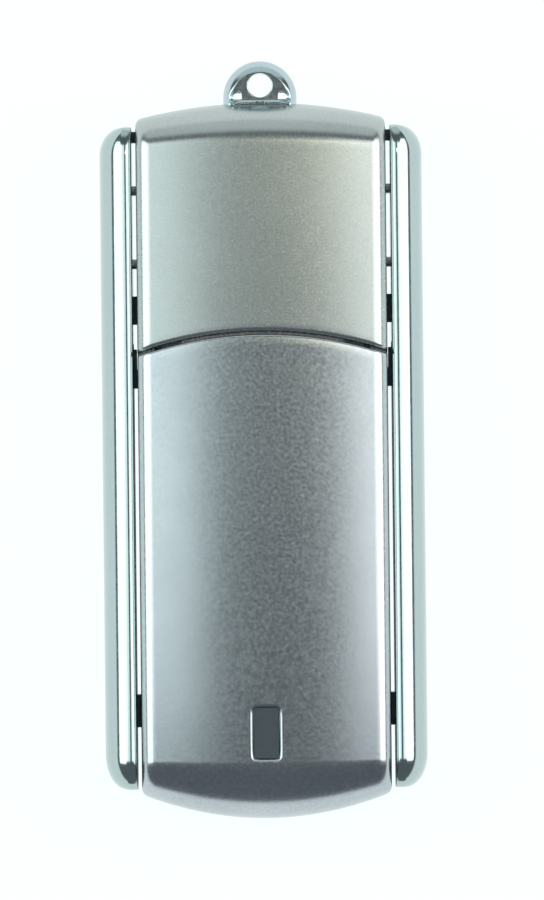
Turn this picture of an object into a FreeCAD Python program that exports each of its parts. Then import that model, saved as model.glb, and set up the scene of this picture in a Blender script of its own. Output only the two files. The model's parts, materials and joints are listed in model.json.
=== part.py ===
import FreeCAD, Part
import math
import os
import re
import Sketcher

# A USB flash drive lying on its back, in millimetres. X is the width, +Y points to the lanyard lug and
# +Z is up out of the front face. The origin is the bottom centre of the whole drive.
# The cap, the lug and the two side rails are one frame. The memory body, with its plug inside the cap,
# slides out of that frame towards -Y, guided by four shoes in the channels of the rails.

DIMENSIONS = {
    "total_length": 56.4,      # lug tip to the foot of the memory body
    "body_width": 18.6,
    "thickness": 9.0,
    "lug_height": 3.1,         # lug tip above the crest of the cap
    "cap_length": 17.3,        # crest of the cap to the crest of the seam
    "seam_gap": 0.2,
    "cap_arc": 42.0,           # plan radius of the cap's end
    "seam_arc": 29.0,          # plan radius of the seam
    "foot_arc": 27.0,          # plan radius of the memory body's foot
    "corner": 1.0,             # plan radius of the four outer corners
    "edge_radius": 1.1,        # roll-off along both long sides
    "crown_radius": 98.0,      # gentle crown across the front face
    "cap_roll": 2.7,           # how far the cap's end roll-off reaches in plan
    "cap_roll_radius": 5.0,
    "foot_roll": 3.75,
    "foot_roll_radius": 4.65,
    "roll_over": 0.1,          # the roll-off profiles run this far past the face
    "cover_wall": 1.0,
    "cap_wall": 1.6,
    "cap_cavity_over": 4.0,
    "cavity_depth": 3.6,       # from the parting plane to the inside of a face
    "foot_solid": 4.0,         # solid metal at the foot
    "seam_solid": 2.2,         # metal behind the crest of the seam
    "cap_solid": 3.7,          # metal at the end of the cap
    "side_gap": 0.3,
    "rail_width": 2.4,
    "rail_half": 2.9,          # half height of a rail
    "rail_flat": 0.6,          # from the inner wall to the centre of the outer curve
    "rail_edge": 1.2,          # small radius of the rail's curve
    "rail_break": 0.25,        # chamfer on the inner edges
    "rail_head": 1.8,          # cap crest to rail top
    "rail_foot": 2.25,         # foot crest to rail bottom
    "rail_plan_x": 1.6,        # plan corners of a rail, across and along
    "rail_head_plan": 2.1,
    "rail_head_round": 2.2,
    "rail_foot_plan": 2.6,
    "rail_foot_round": 2.8,
    "rail_roll": 1.7,          # length, drop and radius of the roll-off at a rail's ends
    "rail_roll_drop": 0.85,
    "rail_roll_radius": 2.2,
    "channel_depth": 1.3,
    "channel_half": 1.9,
    "channel_top": 7.2,
    "channel_skin": 0.3,
    "channel_lip": 0.5,
    "channel_foot": 0.45,      # rail bottom to channel bottom
    "channel_end": 0.2,
    "shoe_play": 0.15,
    "shoe_body_half": 1.0,
    "upper_shoe_low": 3.9,
    "upper_shoe_high": 6.8,
    "shoe_root_high": 5.3,
    "lower_shoe_low": -21.3,
    "lower_shoe_high": -18.9,
    "shoe_gap": 0.06,
    "frame_play": 0.1,
    "frame_wall": 0.9,
    "frame_ledge": 0.7,
    "frame_low": 3.5,
    "frame_high": 2.5,
    "frame_way": 3.0,          # length of the frame's opening for the plug
    "board_top": -0.4,         # board surface, from the parting plane
    "board_thick": 0.8,
    "board_half": 7.2,
    "board_low": -23.4,
    "board_high": 1.3,
    "chip_lift": 0.1,
    "lead_reach": 0.7,
    "lead_share": 0.22,        # half width of a lead, in pitches
    "plug_width": 12.0,
    "plug_thick": 4.5,
    "plug_reach": 12.0,        # plug tip beyond the seam crest
    "plug_back": 1.5,
    "plug_sheet": 0.3,
    "plug_play": 0.05,
    "plug_window_place": 3.0,
    "plug_window_half": 1.25,
    "plug_window_far": 7.1,    # from the plug's tip to both ends of its windows
    "plug_window_near": 5.1,
    "tongue_back": 0.1,
    "tongue_thick": 1.84,
    "tongue_short": 0.8,
    "tongue_base": 8.5,
    "contact_wide": 1.0,
    "contact_thick": 0.1,
    "contact_back": -0.9,
    "contact_leg": 0.6,
    "contact_lane": 0.5,
    "liner_low": 8.4,
    "liner_play": 0.3,
    "liner_gap": 0.2,          # plug tip to the end of its socket
    "liner_end": 0.4,
    "liner_half": 7.6,
    "liner_high": 3.5,
    "spring_low": 10.5,
    "spring_high": 17.5,
    "spring_half": 0.8,
    "spring_place": 3.3,
    "spring_thick": 0.15,
    "spring_level": 2.95,
    "spring_bump": 0.35,
    "bump_sink": 0.15,
    "slot_play": 0.2,
    "lug_radius": 2.74,
    "lug_half": 1.2,           # half thickness of the lug
    "lug_round": 0.9,          # radius of its rim
    "lug_overlap": 0.01,
    "lug_hole": 0.9,
    "lug_hole_above": 1.26,    # hole centre above the crest of the cap
    "flange_half": 3.8,
    "flange_high": 1.7,
    "flange_thick": 0.9,
    "pin_radius": 0.38,
    "pin_inner": 8.75,
    "pin_outer": 10.6,
    "upper_pin": 18.62,
    "lower_pin": 13.16,
    "key_inner": 8.6,
    "key_outer": 10.4,
    "key_half": 1.0,
    "key_low": 8.66,
    "key_high": 10.75,
    "tab_low": 22.2,
    "tab_high": 23.0,
    "tab_half": 0.8,
    "tab_inset": 0.3,
    "window_half": 0.92,
    "window_low": -23.6,
    "window_high": -19.85,
    "window_sink": 0.35,       # window surface below the face
    "window_play": 0.02,
    "window_lap": 0.4,
    "window_flange": 0.5,
    "window_bevel": 0.22,
    "stem_half": 0.6,
    "stem_low": 1.1,           # board surface to the light guide
    "tool_over": 1.0,          # how far cutting tools run past what they cut
}

# Places worked out from the sheet's cells
HALF = "(body_width / 2)"
MID = "(thickness / 2)"
CAP_CREST = "(total_length / 2 - lug_height)"
FOOT_CREST = "(-total_length / 2)"
SEAM_CREST = "(total_length / 2 - lug_height - cap_length)"
CAVITY_FOOT = f"({FOOT_CREST} + foot_solid)"
CAVITY_SEAM = f"({SEAM_CREST} - seam_solid)"
CAVITY_CAP = f"({CAP_CREST} - cap_solid)"
COVER_INSIDE = f"({HALF} - cover_wall)"
CAP_INSIDE = f"({HALF} - cap_wall)"
RAIL_IN = f"({HALF} + side_gap)"
RAIL_OUT = f"({RAIL_IN} + rail_width)"
RAIL_TOP = f"({CAP_CREST} - rail_head)"
RAIL_LOW = f"({FOOT_CREST} + rail_foot)"
PLUG_TIP = f"({SEAM_CREST} + plug_reach)"
FRAME_HALF = f"({COVER_INSIDE} - frame_play)"
FRAME_LOW = f"({CAVITY_FOOT} + frame_play)"
FRAME_HIGH = f"({CAVITY_SEAM} - frame_play)"

doc = FreeCAD.newDocument("usb_flash_drive")
sheet = doc.addObject("Spreadsheet::Sheet", "Dims")
parts = []


def fill_sheet():
    for row, (alias, value) in enumerate(DIMENSIONS.items(), start=1):
        sheet.set(f"A{row}", alias)
        sheet.set(f"B{row}", str(value))
        sheet.setAlias(f"B{row}", alias)
    doc.recompute()


def cells(text):
    """The expression text with each alias pointing at the sheet."""
    return re.sub(r"[a-z_]+", lambda m: "Dims." + m[0] if m[0] in DIMENSIONS else m[0], text)


def value(text):
    return float(sheet.evalExpression(cells(text)))


def bind(item, path, text):
    item.setExpression(path, cells(text))


def keep(item, label):
    """Name a finished sub-part and put it on the list to write."""
    item.Label = label
    parts.append(item)
    return item


# ---- Part primitives -------------------------------------------------------------------------------

def box(name, x, y, z):
    """A box between (low, high) expressions along each axis."""
    item = doc.addObject("Part::Box", name)
    for side, axis, (low, high) in zip(("Length", "Width", "Height"), "xyz", (x, y, z)):
        bind(item, side, f"({high}) - ({low})")
        bind(item, f"Placement.Base.{axis}", low)
    return item


def cylinder(name, centre, radius, length, rotation=None):
    """A cylinder that starts at centre and runs along +Z, or where rotation turns +Z."""
    item = doc.addObject("Part::Cylinder", name)
    if rotation:
        item.Placement = FreeCAD.Placement(FreeCAD.Vector(), rotation)
    for axis, text in zip("xyz", centre):
        bind(item, f"Placement.Base.{axis}", text)
    bind(item, "Radius", radius)
    bind(item, "Height", length)
    return item


ALONG_X = FreeCAD.Rotation(FreeCAD.Vector(0, 1, 0), 90)


def fuse(name, items):
    if len(items) == 1:
        return items[0]
    item = doc.addObject("Part::MultiFuse", name)
    item.Shapes = items
    return item


def group(name, items):
    """Separate solids kept in one sub-part."""
    item = doc.addObject("Part::Compound", name)
    item.Links = items
    return item


def cut(name, base, tools):
    item = doc.addObject("Part::Cut", name)
    item.Base = base
    item.Tool = fuse(name + "_tools", tools)
    return item


def about(text, half):
    """The (low, high) pair that lies half each side of text."""
    return (f"{text} - ({half})", f"{text} + ({half})")


# ---- Sketched bodies -------------------------------------------------------------------------------

def new_body(name):
    return doc.addObject("PartDesign::Body", name)


def new_sketch(body, plane, name):
    sketch = body.newObject("Sketcher::SketchObject", name)
    support = next(item for item in body.Origin.OriginFeatures if item.Role == plane)
    sketch.AttachmentSupport = [(support, "")]
    sketch.MapMode = "FlatFace"
    return sketch


def arc_centre(start, end, radius):
    """Centre of the short arc that runs anticlockwise for a radius above zero, else clockwise."""
    chord = end - start
    middle = (start + end) * 0.5
    height = math.sqrt(max(radius ** 2 - chord.Length ** 2 / 4, 0.0))
    left = FreeCAD.Vector(-chord.y, chord.x, 0).normalize()
    return middle + left * math.copysign(height, radius)


def profile(sketch, corners):
    """A closed outline. Each corner is (x, y, arc), where arc is the signed radius of the edge that
    leaves the corner, or None for a straight edge. Every corner and radius is bound to the sheet."""
    points = [FreeCAD.Vector(value(x), value(y), 0) for x, y, arc in corners]
    first = sketch.GeometryCount
    last = first + len(corners) - 1
    ends = []
    for index, (x, y, arc) in enumerate(corners):
        start, end = points[index], points[(index + 1) % len(points)]
        if arc is None:
            sketch.addGeometry(Part.LineSegment(start, end), False)
            ends.append((1, 2))
            continue
        radius = value(arc)
        centre = arc_centre(start, end, radius)
        circle = Part.Circle(centre, FreeCAD.Vector(0, 0, 1), abs(radius))
        angles = [math.atan2(point.y - centre.y, point.x - centre.x) for point in (start, end)]
        if radius < 0:
            angles.reverse()
        if angles[1] < angles[0]:
            angles[1] += 2 * math.pi
        sketch.addGeometry(Part.ArcOfCircle(circle, *angles), False)
        ends.append((1, 2) if radius > 0 else (2, 1))
    for index, (x, y, arc) in enumerate(corners):
        here = first + index
        before = here - 1 if index else last
        start, stop = ends[index][0], ends[index - 1][1]
        sketch.addConstraint(Sketcher.Constraint("Coincident", before, stop, here, start))
        for kind, text in (("DistanceX", x), ("DistanceY", y)):
            place = Sketcher.Constraint(kind, -1, 1, here, start, value(text))
            bind(sketch, f"Constraints[{sketch.addConstraint(place)}]", text)
        if arc is not None:
            size = Sketcher.Constraint("Radius", here, abs(value(arc)))
            bind(sketch, f"Constraints[{sketch.addConstraint(size)}]", f"abs({arc})")


def pad_along_y(body, sketch, low, high):
    """Pad a section drawn on the XZ plane from low to high along Y."""
    pad = body.newObject("PartDesign::Pad", "run")
    pad.Profile = sketch
    pad.SideType = "Two sides"
    bind(pad, "Length", f"-({low})")
    bind(pad, "Length2", high)
    body.Tip = pad
    return pad


def cut_through(body, sketch, name):
    """Cut a sketched outline right through the body, both ways from its plane."""
    pocket = body.newObject("PartDesign::Pocket", name)
    pocket.Profile = sketch
    pocket.SideType = "Symmetric"
    pocket.Type = "ThroughAll"
    body.Tip = pocket
    return pocket


def end_groove(body, name, crest, arc, roll, roll_radius, outward, side):
    """Roll the end of a shell over along its plan arc.

    outward is +1 for an end that faces +Y. side is +1 above the parting plane and -1 below it.
    """
    sketch = new_sketch(body, "YZ_Plane", name + "_profile")
    centre = f"({crest} - {outward} * {arc})"
    axis = [FreeCAD.Vector(value(centre), 0, 0), FreeCAD.Vector(value(centre), value("thickness"), 0)]
    sketch.addGeometry(Part.LineSegment(*axis), True)
    for point, height in ((1, "0"), (2, "thickness")):
        for kind, text in (("DistanceX", centre), ("DistanceY", height)):
            place = Sketcher.Constraint(kind, -1, 1, 0, point, value(text))
            bind(sketch, f"Constraints[{sketch.addConstraint(place)}]", text)
    level = f"({MID} + {side} * (thickness / 2 + roll_over))"
    far = f"({crest} + {outward} * 5)"
    turn = f"{outward * side} * {roll_radius}"
    profile(sketch, [(crest, MID, turn), (f"{crest} - {outward} * {roll}", level, None),
                     (far, level, None), (far, MID, None)])
    doc.recompute()
    groove = body.newObject("PartDesign::Groove", name)
    groove.Profile = sketch
    groove.ReferenceAxis = (sketch, ["Axis0"])
    groove.Angle = 180
    groove.Midplane = True
    body.Tip = groove


def round_corners(body, name, crest, arc, outward):
    """Round both plan corners at one end."""
    sketch = new_sketch(body, "XY_Plane", name)
    corner_y = f"({crest} - {outward} * ({arc} - sqrt({arc}^2 - {HALF}^2)))"
    for side in (1, -1):
        profile(sketch, [
            (f"{side} * {HALF}", f"{corner_y} - {outward} * corner", f"{outward * side} * corner * 1.1"),
            (f"{side} * ({HALF} - corner)", f"{corner_y} + {outward} * corner * 0.25", None),
            (f"{side} * ({HALF} - corner)", f"{corner_y} + {outward} * corner * 2", None),
            (f"{side} * ({HALF} + corner)", f"{corner_y} + {outward} * corner * 2", None),
            (f"{side} * ({HALF} + corner)", f"{corner_y} - {outward} * corner", None)])
    cut_through(body, sketch, name + "_cut")


def shell_section(sketch, side):
    """The half section of a shell: crowned on the front, flat on the back."""
    inner = "(crown_radius - edge_radius)"
    corner_x = f"({HALF} - edge_radius)"
    if side > 0:
        rise = f"sqrt({inner}^2 - {corner_x}^2)"
        shoulder = f"(thickness / 2 - crown_radius + {rise})"
        top_x = f"({corner_x} * crown_radius / {inner})"
        top_z = f"(thickness / 2 - crown_radius + {rise} * crown_radius / {inner})"
        crown = "-crown_radius"
    else:
        shoulder = "(thickness / 2 - edge_radius)"
        top_x, top_z, crown = corner_x, "(thickness / 2)", None
    profile(sketch, [(f"-{HALF}", MID, None),
                     (f"-{HALF}", f"{MID} + {side} * {shoulder}", f"-{side} * edge_radius"),
                     (f"-{top_x}", f"{MID} + {side} * {top_z}", crown),
                     (top_x, f"{MID} + {side} * {top_z}", f"-{side} * edge_radius"),
                     (HALF, f"{MID} + {side} * {shoulder}", None),
                     (HALF, MID, None)])


def seam_cut(body, gap, keep_below):
    """Trim a shell along the curved seam, keeping the memory body's or the cap's side of it."""
    sketch = new_sketch(body, "XY_Plane", "seam_profile")
    radius = f"(seam_arc + {gap})"
    centre_y = f"({SEAM_CREST} - seam_arc)"
    half = f"({HALF} + tool_over)"
    edge_y = f"({centre_y} + sqrt({radius}^2 - {half}^2))"
    far = f"{CAP_CREST} + 5" if keep_below else f"{FOOT_CREST} - 5"
    profile(sketch, [(half, edge_y, radius), (f"-{half}", edge_y, None),
                     (f"-{half}", far, None), (half, far, None)])
    cut_through(body, sketch, "seam")


def shell(name, side, cap):
    """A metal half shell of the cap or of the memory body, still solid."""
    body = new_body(name)
    section = new_sketch(body, "XZ_Plane", "section")
    shell_section(section, side)
    pad_along_y(body, section, f"{FOOT_CREST} - tool_over", f"{CAP_CREST} + tool_over")
    seam_cut(body, "seam_gap" if cap else "0", not cap)
    if cap:
        end_groove(body, "end", CAP_CREST, "cap_arc", "cap_roll", "cap_roll_radius", 1, side)
        round_corners(body, "corners", CAP_CREST, "cap_arc", 1)
    else:
        end_groove(body, "end", FOOT_CREST, "foot_arc", "foot_roll", "foot_roll_radius", -1, side)
        round_corners(body, "corners", FOOT_CREST, "foot_arc", -1)
    return body


# ---- Memory body -----------------------------------------------------------------------------------

SHOES = (("upper_shoe_low", "upper_shoe_high", "shoe_root_high"),
         ("lower_shoe_low", "lower_shoe_high", "lower_shoe_high"))


def mirrored(side, low, high):
    """The (low, high) pair of a span from low to high on the right, or its mirror on the left."""
    return (low, high) if side > 0 else (f"-({high})", f"-({low})")


def shoe_root(name, side, low, high, play):
    return box(name, mirrored(side, f"{FRAME_HALF}", f"{RAIL_IN} - shoe_gap"),
               (f"{low} - {play}", f"{high} + {play}"), about(MID, f"shoe_body_half + {play}"))


def guide_shoes():
    shoes = []
    for side in (1, -1):
        for index, (low, high, root_high) in enumerate(SHOES):
            tag = f"shoe_{index}_{'r' if side > 0 else 'l'}"
            head_x = mirrored(side, f"{HALF} + shoe_gap",
                              f"{RAIL_IN} + channel_depth - channel_skin - shoe_play")
            head = box(tag + "_head", head_x, (low, high),
                       about(MID, "channel_half - channel_lip - shoe_play"))
            shoes.append(fuse(tag, [head, shoe_root(tag + "_root", side, low, root_high, "0")]))
    keep(group("shoes", shoes), "guide_shoes")


def cover(label, side):
    block = shell(label + "_block", side, False)
    depth = (MID, f"{MID} + cavity_depth") if side > 0 else (f"{MID} - cavity_depth", MID)
    tools = [box(label + "_cavity", about("0", COVER_INSIDE), (CAVITY_FOOT, CAVITY_SEAM), depth),
             box(label + "_plug_way", about("0", "plug_width / 2 + plug_play"),
                 (CAVITY_SEAM, f"{SEAM_CREST} + tool_over"), about(MID, "plug_thick / 2 + plug_play"))]
    for hand in (1, -1):
        for index, (low, high, root_high) in enumerate(SHOES):
            tag = f"{label}_notch_{index}_{'r' if hand > 0 else 'l'}"
            tools.append(shoe_root(tag, hand, low, root_high, "plug_play"))
    if side > 0:
        tools += window_opening()
    keep(cut(label + "_cut", block, tools), label)


def window_opening():
    """The through hole for the window, with a bevel round its mouth."""
    hole = box("window_hole", about("0", "window_half + window_play"),
               ("window_low - window_play", "window_high + window_play"),
               (MID, "thickness + tool_over"))
    wedge = doc.addObject("Part::Wedge", "window_bevel_tool")
    near, far = "window_play", "(window_play + window_bevel + tool_over)"
    spans = {"Xmin": f"-window_half - {near}", "Xmax": f"window_half + {near}",
             "Zmin": f"window_low - {near}", "Zmax": f"window_high + {near}",
             "X2min": f"-window_half - {far}", "X2max": f"window_half + {far}",
             "Z2min": f"window_low - {far}", "Z2max": f"window_high + {far}",
             "Ymin": "0", "Ymax": "window_bevel + tool_over"}
    for path, text in spans.items():
        bind(wedge, path, text)
    # The wedge grows along its own Y, so it is turned to grow along +Z, with its Z along -Y
    wedge.Placement = FreeCAD.Placement(FreeCAD.Vector(), FreeCAD.Rotation(FreeCAD.Vector(1, 0, 0), 90))
    bind(wedge, "Placement.Base.z", "thickness - window_bevel")
    bind(wedge, "Placement.Base.y", "window_low + window_high")
    return [hole, wedge]


def led_window():
    plate = box("window_plate", about("0", "window_half"), ("window_low", "window_high"),
                (f"{MID} + cavity_depth - window_flange", "thickness - window_sink"))
    flange = box("window_flange", about("0", "window_half + window_lap"),
                 ("window_low - window_lap", "window_high + window_lap"),
                 (f"{MID} + cavity_depth - window_flange", f"{MID} + cavity_depth"))
    stem = box("window_stem", about("0", "stem_half"), about("(window_low + window_high) / 2", "stem_half"),
               (f"{MID} + board_top + stem_low", f"{MID} + cavity_depth - window_flange"))
    keep(fuse("window_body", [plate, flange, stem]), "led_window")


def inner_frame():
    """A plastic tray: a ring with a ledge under the board and a way through for the plug."""
    ring = box("frame_ring", about("0", FRAME_HALF), (FRAME_LOW, FRAME_HIGH),
               (f"{MID} - frame_low", f"{MID} + frame_high"))
    inside = f"({FRAME_HALF} - frame_wall)"
    room = box("frame_room", about("0", inside),
               (f"{FRAME_LOW} + frame_wall / 2", f"{FRAME_HIGH} - frame_wall"),
               (f"{MID} + board_top - board_thick", f"{MID} + frame_high"))
    under = box("frame_under", about("0", f"{inside} - frame_ledge"),
                (f"{FRAME_LOW} + frame_wall + frame_ledge", f"{FRAME_HIGH} - frame_wall - frame_ledge"),
                (f"{MID} - frame_low", f"{MID} + board_top - board_thick"))
    way = box("frame_way", about("0", "plug_width / 2 + plug_play"),
              (f"{FRAME_HIGH} - frame_way", FRAME_HIGH), about(MID, "plug_thick / 2 + plug_play"))
    keep(cut("frame_cut", ring, [room, under, way]), "inner_frame")


def circuit_board():
    keep(box("board", about("0", "board_half"), ("board_low", "board_high"),
             (f"{MID} + board_top - board_thick", f"{MID} + board_top")), "circuit_board")


BOARD_TOP = f"({MID} + board_top)"
BOARD_BACK = f"({MID} + board_top - board_thick)"


# label, x, y, half width, half length, thickness, leads a side, lead pitch, on the front of the board
CHIPS = (("controller_chip", "0", "-9.5", "3.5", "3.5", "1.0", 12, "0.5", True),
         ("flash_memory_chip", "0", "-11.5", "5.4", "9.2", "1.0", 24, "0.72", False),
         ("voltage_regulator", "4.9", "-16.2", "0.7", "1.5", "1.0", 2, "1.9", True))
# label, places, half width, half length, height
SMALL_PARTS = (
    ("crystal", (("-4.9", "-15.4"),), "1.3", "2.4", "1.0"),
    ("indicator_led", (("0", "-21.7"),), "0.8", "0.45", "0.7"),
    ("capacitors", (("-3.0", "-3.4"), ("3.0", "-3.4"), ("-5.9", "-6.0"), ("5.9", "-6.0"), ("-5.9", "-12.0")),
     "0.4", "0.8", "0.7"),
    ("resistors", (("-4.2", "-19.0"), ("-2.8", "-19.0"), ("2.8", "-19.0"), ("4.2", "-19.0"),
                   ("-1.4", "-15.2"), ("0", "-15.2"), ("1.4", "-15.2")), "0.4", "0.8", "0.45"))


def chip(label, x, y, half_x, half_y, thick, leads, pitch, front):
    """A chip package with a row of leads along both of its X sides."""
    surface, way = (BOARD_TOP, 1) if front else (BOARD_BACK, -1)

    def level(low, high):
        pair = (f"{surface} + {way} * ({low})", f"{surface} + {way} * ({high})")
        return pair if front else pair[::-1]

    solids = [box(label + "_case", about(x, half_x), about(y, half_y),
                  level("chip_lift", f"chip_lift + {thick}"))]
    for side in (1, -1):
        for index in range(leads):
            tag = f"{label}_lead_{side > 0:d}_{index}"
            span = mirrored(side, f"{side} * ({x}) + {half_x}", f"{side} * ({x}) + {half_x} + lead_reach")
            lead_y = f"({y} + ({index} - ({leads} - 1) / 2) * {pitch})"
            solids.append(box(tag, span, about(lead_y, f"{pitch} * lead_share"),
                              level("0", f"chip_lift + {thick} / 2")))
    keep(fuse(label + "_body", solids), label)


def small_parts(label, places, half_x, half_y, height):
    """Identical small components on the board, as separate solids."""
    solids = [box(f"{label}_{index}", about(x, half_x), about(y, half_y),
                  (BOARD_TOP, f"{BOARD_TOP} + {height}"))
              for index, (x, y) in enumerate(places)]
    keep(group(label + "_all", solids) if len(solids) > 1 else solids[0], label)


def board_parts():
    for row in CHIPS:
        chip(*row)
    for row in SMALL_PARTS:
        small_parts(*row)


# Contacts of the plug: x and the distance of the tip behind the plug's mouth
CONTACTS = (("-3.5", "0.9"), ("-1.0", "1.9"), ("1.0", "1.9"), ("3.5", "0.9"))


def usb_plug():
    """The standard plug: a folded sheet shell with four grip windows, a plastic tongue and contacts."""
    outer = box("plug_outer", about("0", "plug_width / 2"), ("plug_back", PLUG_TIP),
                about(MID, "plug_thick / 2"))
    hollow = box("plug_hollow", about("0", "plug_width / 2 - plug_sheet"),
                 ("plug_back - tool_over", f"{PLUG_TIP} + tool_over"),
                 about(MID, "plug_thick / 2 - plug_sheet"))
    windows = [box(f"plug_window_{side > 0:d}", about(f"{side} * plug_window_place", "plug_window_half"),
                   (f"{PLUG_TIP} - plug_window_far", f"{PLUG_TIP} - plug_window_near"),
                   about(MID, "plug_thick")) for side in (-1, 1)]
    keep(cut("plug_cut", outer, [hollow] + windows), "usb_plug_shell")

    inside = "plug_width / 2 - plug_sheet - plug_play"
    floor = f"{MID} - plug_thick / 2 + plug_sheet + plug_play"
    base = box("tongue_base_block", about("0", inside), ("plug_back + tongue_back", "tongue_base"),
               (floor, f"{MID} + plug_thick / 2 - plug_sheet - plug_play"))
    tongue_top = f"({floor} + tongue_thick)"
    tongue = box("tongue_blade", about("0", inside),
                 ("plug_back + tongue_back", f"{PLUG_TIP} - tongue_short"), (floor, tongue_top))
    lanes, contacts = [], []
    for index, (x, short) in enumerate(CONTACTS):
        span = about(x, "contact_wide / 2")
        level = (tongue_top, f"{tongue_top} + contact_thick")
        strip = box(f"contact_strip_{index}", span, ("contact_back", f"{PLUG_TIP} - {short}"), level)
        leg = box(f"contact_leg_{index}", span, ("contact_back", "contact_back + contact_leg"),
                  (BOARD_TOP, f"{tongue_top} + contact_thick"))
        contacts.append(fuse(f"contact_{index}", [strip, leg]))
        lanes.append(box(f"contact_lane_{index}", span, ("plug_back", "tongue_base + contact_lane"), level))
    keep(cut("tongue_cut", fuse("tongue_fuse", [base, tongue]), lanes), "usb_plug_tongue")
    keep(group("contact_all", contacts), "usb_contacts")


# ---- Cap frame -------------------------------------------------------------------------------------

def pin(name, side, place):
    start = "pin_inner" if side > 0 else "-pin_outer"
    return cylinder(name, (start, place, MID), "pin_radius", "pin_outer - pin_inner", ALONG_X)


def key(name, side, low, high, half, outer="key_outer"):
    return box(name, mirrored(side, "key_inner", outer), (low, high), about(MID, half))


def joinery(tag, side):
    """The pins, the long key and the top tab on one side, as solids or as tools for their holes."""
    pins = [pin(f"{tag}_pin_{index}", side, place) for index, place in enumerate(("upper_pin", "lower_pin"))]
    keys = [key(f"{tag}_key", side, "key_low", "key_high", "key_half"),
            key(f"{tag}_tab", side, "tab_low", "tab_high", "tab_half", "key_outer - tab_inset")]
    return pins, keys


def rail_fasteners():
    right_pins, right_keys = joinery("right", 1)
    left_pins, left_keys = joinery("left", -1)
    keep(group("pin_all", right_pins + left_pins), "rail_pins")
    keep(group("key_all", right_keys + left_keys), "rail_keys")


def cap_shell(label, side):
    block = shell(label + "_block", side, True)
    depth = (MID, f"{MID} + cavity_depth") if side > 0 else (f"{MID} - cavity_depth", MID)
    tools = [box(label + "_cavity", about("0", CAP_INSIDE),
                 (f"{SEAM_CREST} - cap_cavity_over", CAVITY_CAP), depth),
             box(label + "_lug_slot", about("0", "lug_radius"), (CAVITY_CAP, f"{CAP_CREST} + tool_over"),
                 about(MID, "lug_half"))]
    for hand, tag in ((1, "r"), (-1, "l")):
        pins, keys = joinery(f"{label}_{tag}", hand)
        tools += pins + keys
    keep(cut(label + "_cut", block, tools), label)


def cap_liner():
    inner_end = f"({PLUG_TIP} + liner_gap)"
    sleeve = box("liner_outer", about("0", "liner_half"), ("liner_low", f"{inner_end} + liner_end"),
                 about(MID, "liner_high"))
    socket = box("liner_socket", about("0", "plug_width / 2 + liner_play"),
                 ("liner_low - tool_over", inner_end), about(MID, "plug_thick / 2 + liner_play"))
    slots = []
    for index, (x, side) in enumerate(((-1, -1), (1, -1), (-1, 1), (1, 1))):
        slots.append(box(f"liner_slot_{index}", about(f"{x} * spring_place", "spring_half + slot_play"),
                         ("spring_low - slot_play", "spring_high + slot_play"),
                         (MID, f"{MID} + liner_high") if side > 0 else (f"{MID} - liner_high", MID)))
    keep(cut("liner_cut", sleeve, [socket] + slots), "cap_liner")


def plug_grip_springs():
    """Leaf springs in the liner's slots, each with a round bump over a window of the plug."""
    springs = []
    for index, (x, side) in enumerate(((-1, -1), (1, -1), (-1, 1), (1, 1))):
        leaf_z = (f"{MID} + {side} * spring_level", f"{MID} + {side} * (spring_level + spring_thick)")
        leaf = box(f"leaf_{index}", about(f"{x} * spring_place", "spring_half"),
                   ("spring_low", "spring_high"), leaf_z if side > 0 else leaf_z[::-1])
        bump = cylinder(f"bump_{index}", (f"{x} * spring_place - spring_half",
                                          f"{PLUG_TIP} - (plug_window_far + plug_window_near) / 2",
                                          f"{MID} + {side} * (spring_level - bump_sink)"),
                        "spring_bump", "spring_half * 2", ALONG_X)
        springs.append(fuse(f"spring_{index}", [leaf, bump]))
    keep(group("spring_all", springs), "plug_grip_springs")


def lanyard_lug():
    """A flat-topped arch with a rounded rim and a foot flange held inside the cap."""
    body = new_body("lug_body")
    outline = new_sketch(body, "XY_Plane", "outline")
    dome_y = "(total_length / 2 - lug_radius)"
    low = f"({CAVITY_CAP} - lug_overlap)"
    # The dome is two quarter arcs, so that each is bound by its own ends
    profile(outline, [("lug_radius", low, None), ("lug_radius", dome_y, "lug_radius"),
                      ("0", "total_length / 2", "lug_radius"), ("-lug_radius", dome_y, None),
                      ("-lug_radius", low, None)])
    pad = body.newObject("PartDesign::Pad", "plate")
    pad.Profile = outline
    pad.SideType = "Symmetric"
    bind(pad, "Length", "lug_half * 2")
    body.Tip = pad
    doc.recompute()
    outer_edges = [f"Edge{number}" for number, edge in enumerate(pad.Shape.Edges, start=1)
                   if abs(abs(edge.CenterOfMass.z) - value("lug_half")) < 1e-6
                   and edge.CenterOfMass.y > value(low) + 0.1]
    rim = body.newObject("PartDesign::Fillet", "rim")
    rim.Base = (pad, outer_edges)
    bind(rim, "Radius", "lug_round")
    body.Tip = rim
    hole = new_sketch(body, "XY_Plane", "hole_circle")
    hole.addGeometry(Part.Circle(FreeCAD.Vector(0, value(f"{CAP_CREST} + lug_hole_above"), 0),
                                 FreeCAD.Vector(0, 0, 1), value("lug_hole")), False)
    rules = (("DistanceX", "0"), ("DistanceY", f"{CAP_CREST} + lug_hole_above"))
    for kind, text in rules:
        place = Sketcher.Constraint(kind, -1, 1, 0, 3, value(text))
        bind(hole, f"Constraints[{hole.addConstraint(place)}]", text)
    size = Sketcher.Constraint("Radius", 0, value("lug_hole"))
    bind(hole, f"Constraints[{hole.addConstraint(size)}]", "lug_hole")
    cut_through(body, hole, "lanyard_hole")
    bind(body, "Placement.Base.z", MID)

    flange = box("lug_flange", about("0", "flange_half"), (f"{CAVITY_CAP} - flange_thick", CAVITY_CAP),
                 about(MID, "flange_high"))
    keep(fuse("lug_fuse", [body, flange]), "lanyard_lug")


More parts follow.
